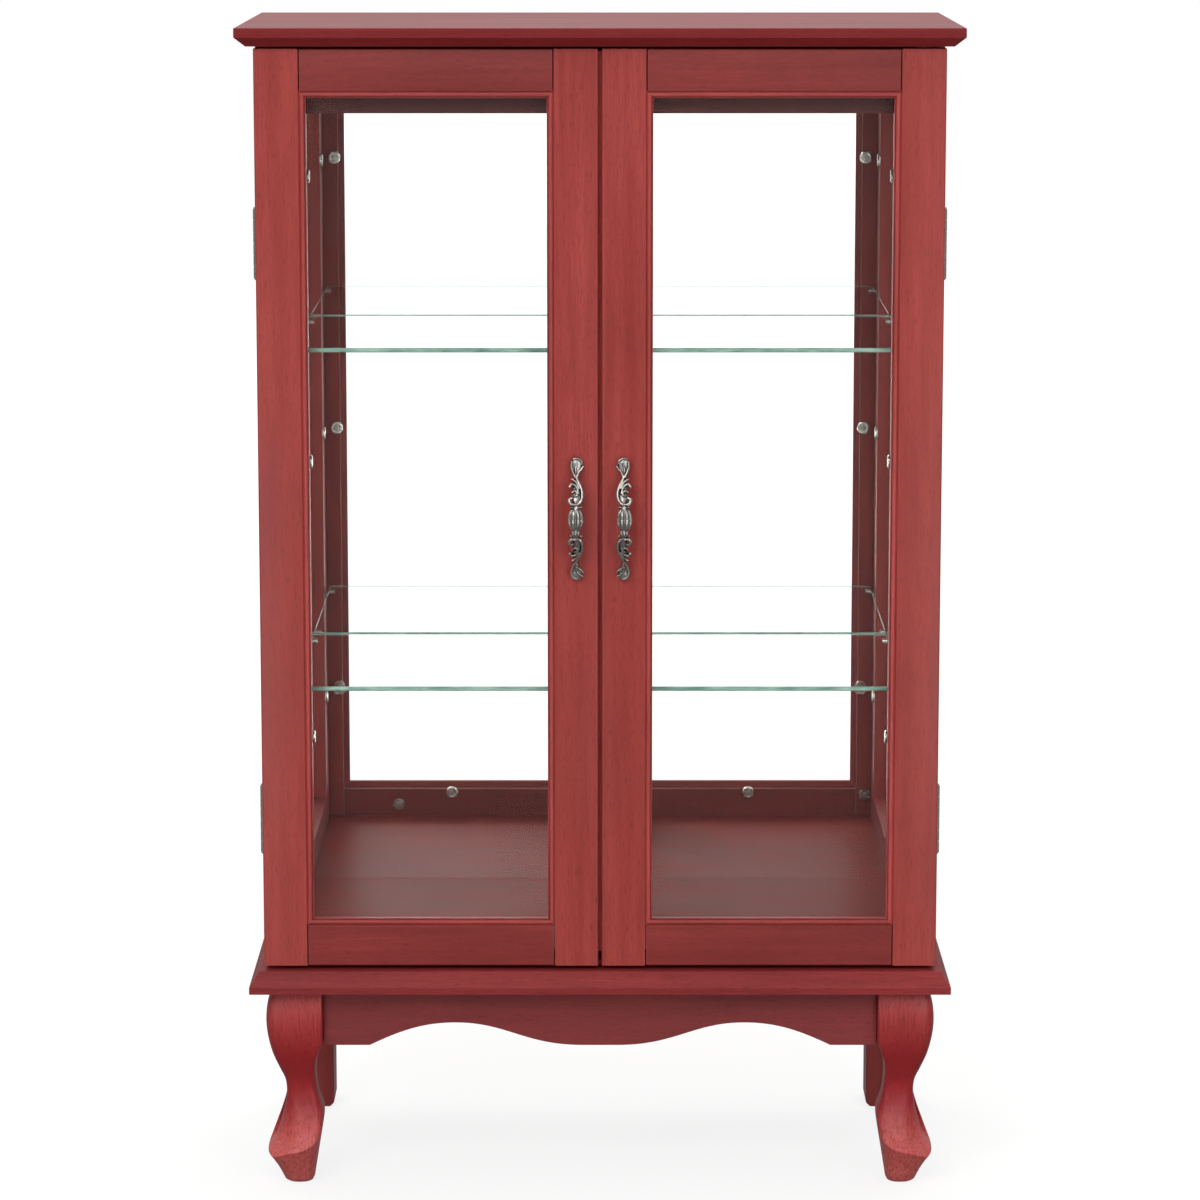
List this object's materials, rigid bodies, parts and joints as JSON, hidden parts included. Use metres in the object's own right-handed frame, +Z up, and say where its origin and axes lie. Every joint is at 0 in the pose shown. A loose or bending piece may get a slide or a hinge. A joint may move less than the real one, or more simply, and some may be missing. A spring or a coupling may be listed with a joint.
{
  "type": "curio cabinet",
  "caption": "Low display cabinet in red cherry stain with framed glass doors, glazed sides, mirror back, glass shelves and curved front legs.",
  "frame": {"origin": "centre of the footprint of the whole cabinet, on the floor", "axes": "+Z up, the doors face -Y, +X to the right when facing the doors"},
  "size_m": [0.634, 0.32, 1.046],
  "materials": {
    "stile_wood": "satin cherry stain, vertical grain",
    "rail_wood": "satin cherry stain, horizontal grain",
    "top_wood": "satin cherry stain, highlights on the upper face",
    "inside_wood": "satin cherry stain in shade",
    "apron_wood": "satin cherry stain, darker",
    "leg_wood": "satin cherry stain, shaded toward the ankle",
    "clear_glass": "clear",
    "shelf_glass": "clear with green edges",
    "mirror": "silvered glass",
    "backing_board": "plain fibreboard",
    "antique_silver": "antique silver with dark recesses",
    "nickel": "brushed nickel"
  },
  "bodies": {
    "carcass": {"top_board": "top_wood", "base_board": "top_wood", "floor_panel": "inside_wood", "front_top_rail": "inside_wood", "left_side_front_stile": "stile_wood", "left_side_rear_stile": "stile_wood", "left_side_top_rail": "rail_wood", "left_side_bottom_rail": "rail_wood", "left_side_glass": "clear_glass", "right_side_front_stile": "stile_wood", "right_side_rear_stile": "stile_wood", "right_side_top_rail": "rail_wood", "right_side_bottom_rail": "rail_wood", "right_side_glass": "clear_glass", "mirror_panel": "mirror", "back_panel": "backing_board", "upper_shelf": "shelf_glass", "lower_shelf": "shelf_glass", "upper_shelf_pin_left_front": "nickel", "upper_shelf_pin_left_rear": "nickel", "upper_shelf_pin_right_front": "nickel", "upper_shelf_pin_right_rear": "nickel", "lower_shelf_pin_left_front": "nickel", "lower_shelf_pin_left_rear": "nickel", "lower_shelf_pin_right_front": "nickel", "lower_shelf_pin_right_rear": "nickel", "left_front_leg": "leg_wood", "left_rear_leg": "leg_wood", "left_apron": "apron_wood", "right_front_leg": "leg_wood", "right_rear_leg": "leg_wood", "right_apron": "apron_wood", "front_apron": "apron_wood", "rear_apron": "apron_wood", "left_upper_hinge_frame_leaf": "nickel", "left_upper_hinge_pin": "nickel", "left_lower_hinge_frame_leaf": "nickel", "left_lower_hinge_pin": "nickel", "right_upper_hinge_frame_leaf": "nickel", "right_upper_hinge_pin": "nickel", "right_lower_hinge_frame_leaf": "nickel", "right_lower_hinge_pin": "nickel"},
    "left_door": {"left_door_outer_stile": "stile_wood", "left_door_inner_stile": "stile_wood", "left_door_top_rail": "rail_wood", "left_door_bottom_rail": "rail_wood", "left_door_glass": "clear_glass", "left_handle": "antique_silver", "left_catch_plate": "nickel", "left_upper_hinge_door_leaf": "nickel", "left_lower_hinge_door_leaf": "nickel"},
    "right_door": {"right_door_outer_stile": "stile_wood", "right_door_inner_stile": "stile_wood", "right_door_top_rail": "rail_wood", "right_door_bottom_rail": "rail_wood", "right_door_glass": "clear_glass", "right_handle": "antique_silver", "right_catch_plate": "nickel", "right_upper_hinge_door_leaf": "nickel", "right_lower_hinge_door_leaf": "nickel"}
  },
  "joints": [
    {"name": "left_door_hinge", "type": "hinge", "parent": "carcass", "child": "left_door", "pos_m": [-0.302, -0.115, 0.597], "axis": [0, 0, -1], "range_deg": [0, 170]},
    {"name": "right_door_hinge", "type": "hinge", "parent": "carcass", "child": "right_door", "pos_m": [0.302, -0.115, 0.597], "axis": [0, 0, 1], "range_deg": [0, 170]}
  ]
}
